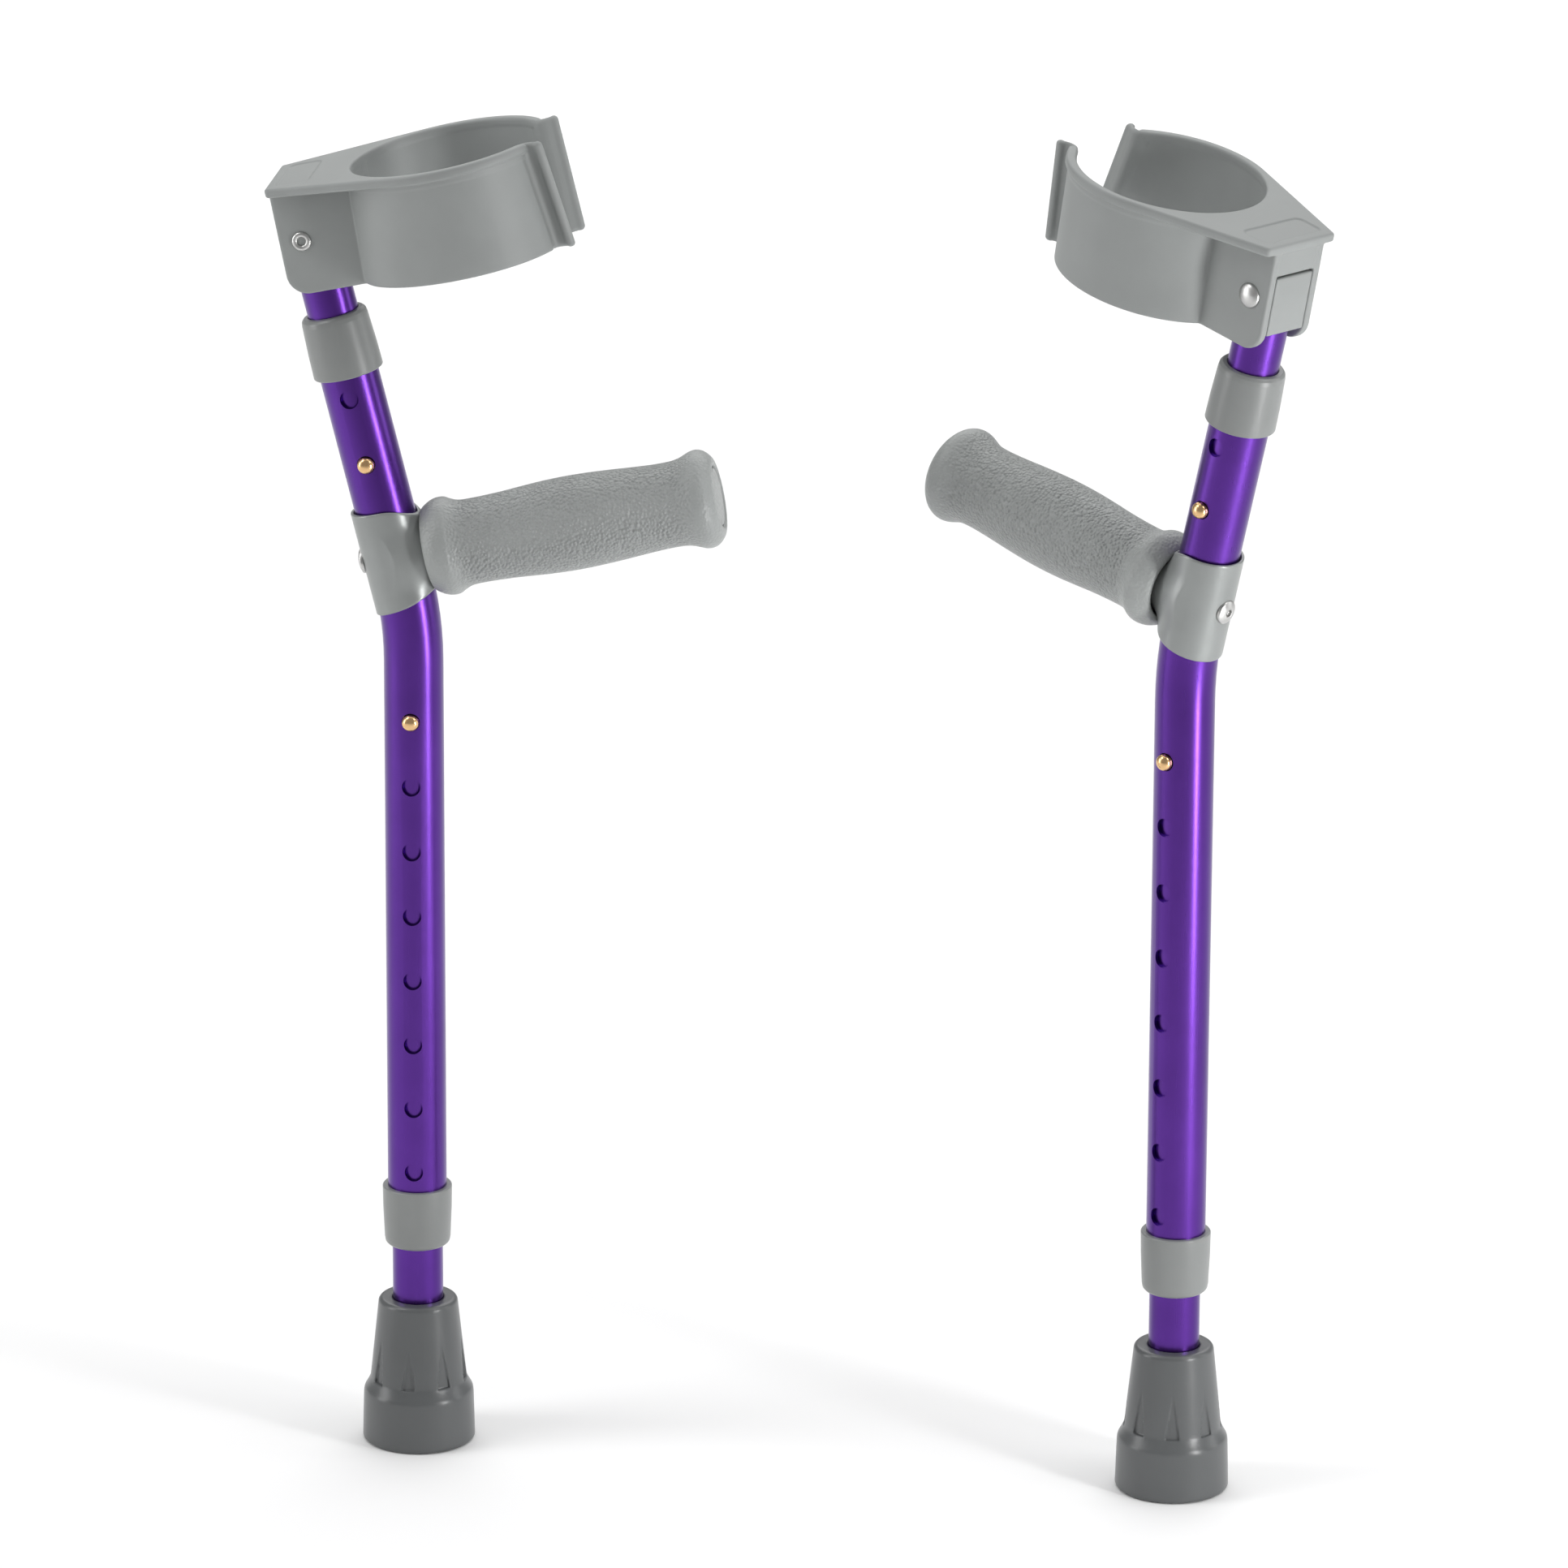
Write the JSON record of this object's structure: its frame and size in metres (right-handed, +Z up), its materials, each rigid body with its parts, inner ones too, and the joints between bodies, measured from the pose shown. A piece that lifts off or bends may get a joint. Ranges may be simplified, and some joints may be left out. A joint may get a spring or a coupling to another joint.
{
  "type": "pair of forearm crutches",
  "caption": "Pair of child-size forearm crutches: bent telescopic aluminium tubes with snap buttons, open arm cuffs, side hand grips and fluted rubber tips.",
  "frame": {"origin": "centre of the left crutch's sole, on the floor", "axes": "+Z up along the left crutch's leg, +X the way the left handle and cuff point, +Y to the left of that"},
  "size_m": [0.3922, 0.1251, 0.5149],
  "materials": {
    "anodised_purple": "bright purple anodised tube",
    "grey_plastic": "satin moulded grey plastic",
    "bracket_paint": "satin grey paint on metal",
    "bright_steel": "bright plated steel",
    "spring_steel": "plain spring steel strip",
    "brass": "bright brass",
    "grip_vinyl": "soft grey moulding with a fine leather grain",
    "tip_rubber": "dark grey moulded rubber"
  },
  "bodies": {
    "left_frame": {"left_main_tube": "anodised_purple", "left_leg_collar": "grey_plastic", "left_forearm_collar": "grey_plastic", "left_handle_bracket": "bracket_paint", "left_handle_core": "bright_steel", "left_handle_nut": "bright_steel", "left_handle_bolt": "bright_steel", "left_hand_grip": "grip_vinyl", "left_grip_end_cap": "grip_vinyl"},
    "left_leg": {"left_leg_tube": "anodised_purple", "left_foot_tip": "tip_rubber", "left_foot_washer": "bright_steel", "left_leg_spring": "spring_steel"},
    "left_leg_button_1": {"left_leg_button_1": "brass"},
    "left_leg_button_2": {"left_leg_button_2": "brass"},
    "left_forearm": {"left_forearm_tube": "anodised_purple", "left_cuff_block": "grey_plastic", "left_forearm_spring": "spring_steel"},
    "left_forearm_button_1": {"left_forearm_button_1": "brass"},
    "left_forearm_button_2": {"left_forearm_button_2": "brass"},
    "left_cuff": {"left_cuff": "grey_plastic", "left_cuff_rivet": "bright_steel"},
    "right_frame": {"right_main_tube": "anodised_purple", "right_leg_collar": "grey_plastic", "right_forearm_collar": "grey_plastic", "right_handle_bracket": "bracket_paint", "right_handle_core": "bright_steel", "right_handle_nut": "bright_steel", "right_handle_bolt": "bright_steel", "right_hand_grip": "grip_vinyl", "right_grip_end_cap": "grip_vinyl"},
    "right_leg": {"right_leg_tube": "anodised_purple", "right_foot_tip": "tip_rubber", "right_foot_washer": "bright_steel", "right_leg_spring": "spring_steel"},
    "right_leg_button_1": {"right_leg_button_1": "brass"},
    "right_leg_button_2": {"right_leg_button_2": "brass"},
    "right_forearm": {"right_forearm_tube": "anodised_purple", "right_cuff_block": "grey_plastic", "right_forearm_spring": "spring_steel"},
    "right_forearm_button_1": {"right_forearm_button_1": "brass"},
    "right_forearm_button_2": {"right_forearm_button_2": "brass"},
    "right_cuff": {"right_cuff": "grey_plastic", "right_cuff_rivet": "bright_steel"}
  },
  "joints": [
    {"name": "left_leg_slide", "type": "slide", "parent": "left_frame", "child": "left_leg", "axis": [0, 0, -1], "range_m": [0, 0.1778], "deforming": ["left_leg_spring", "left_leg_button_1", "left_leg_button_2"]},
    {"name": "left_forearm_slide", "type": "slide", "parent": "left_frame", "child": "left_forearm", "axis": [-0.2402, 0, 0.9707], "range_m": [0, 0.0254], "deforming": ["left_forearm_spring", "left_forearm_button_1", "left_forearm_button_2"]},
    {"name": "left_leg_button_1_press", "type": "slide", "parent": "left_leg", "child": "left_leg_button_1", "axis": [0, 1, 0], "range_m": [0, 0.0045], "stiffness_N_per_m": 2000, "springref_m": -0.002, "deforming": ["left_leg_spring"]},
    {"name": "left_leg_button_2_press", "type": "slide", "parent": "left_leg", "child": "left_leg_button_2", "axis": [0, -1, 0], "range_m": [0, 0.0045], "stiffness_N_per_m": 2000, "springref_m": -0.002, "deforming": ["left_leg_spring"]},
    {"name": "left_forearm_button_1_press", "type": "slide", "parent": "left_forearm", "child": "left_forearm_button_1", "axis": [0.0508, 0.9986, 0.0126], "range_m": [0, 0.0045], "stiffness_N_per_m": 2000, "springref_m": -0.002, "deforming": ["left_forearm_spring"]},
    {"name": "left_forearm_button_2_press", "type": "slide", "parent": "left_forearm", "child": "left_forearm_button_2", "axis": [-0.0508, -0.9986, -0.0126], "range_m": [0, 0.0045], "stiffness_N_per_m": 2000, "springref_m": -0.002, "deforming": ["left_forearm_spring"]},
    {"name": "left_cuff_tilt", "type": "hinge", "parent": "left_forearm", "child": "left_cuff", "pos_m": [-0.0379, 0.00008, 0.4719], "axis": [0.0508, 0.9986, 0.0126], "range_deg": [-5.4, 2.6]},
    {"name": "right_leg_slide", "type": "slide", "parent": "right_frame", "child": "right_leg", "axis": [0, 0, -1], "range_m": [0, 0.1778], "deforming": ["right_leg_spring", "right_leg_button_1", "right_leg_button_2"]},
    {"name": "right_forearm_slide", "type": "slide", "parent": "right_frame", "child": "right_forearm", "axis": [0.1929, -0.1432, 0.9707], "range_m": [0, 0.0254], "deforming": ["right_forearm_spring", "right_forearm_button_1", "right_forearm_button_2"]},
    {"name": "right_leg_button_1_press", "type": "slide", "parent": "right_leg", "child": "right_leg_button_1", "axis": [-0.5962, -0.8028, 0], "range_m": [0, 0.0045], "stiffness_N_per_m": 2000, "springref_m": -0.002, "deforming": ["right_leg_spring"]},
    {"name": "right_leg_button_2_press", "type": "slide", "parent": "right_leg", "child": "right_leg_button_2", "axis": [0.5962, 0.8028, 0], "range_m": [0, 0.0045], "stiffness_N_per_m": 2000, "springref_m": -0.002, "deforming": ["right_leg_spring"]},
    {"name": "right_forearm_button_1_press", "type": "slide", "parent": "right_forearm", "child": "right_forearm_button_1", "axis": [-0.6362, -0.7714, 0.0126], "range_m": [0, 0.0045], "stiffness_N_per_m": 2000, "springref_m": -0.002, "deforming": ["right_forearm_spring"]},
    {"name": "right_forearm_button_2_press", "type": "slide", "parent": "right_forearm", "child": "right_forearm_button_2", "axis": [0.6362, 0.7714, -0.0126], "range_m": [0, 0.0045], "stiffness_N_per_m": 2000, "springref_m": -0.002, "deforming": ["right_forearm_spring"]},
    {"name": "right_cuff_tilt", "type": "hinge", "parent": "right_forearm", "child": "right_cuff", "pos_m": [0.31838, -0.04566, 0.4719], "axis": [-0.6362, -0.7714, 0.0126], "range_deg": [-5.4, 2.6]},
    {"name": "pair_distance", "type": "slide", "parent": "left_frame", "child": "right_frame", "axis": [1, 0, 0], "range_m": [0, 0.15]}
  ],
  "couplings": [
    {"joint": "left_leg_button_2_press", "follows": "left_leg_button_1_press", "ratio": 1},
    {"joint": "left_forearm_button_2_press", "follows": "left_forearm_button_1_press", "ratio": 1},
    {"joint": "right_leg_button_2_press", "follows": "right_leg_button_1_press", "ratio": 1},
    {"joint": "right_forearm_button_2_press", "follows": "right_forearm_button_1_press", "ratio": 1}
  ]
}
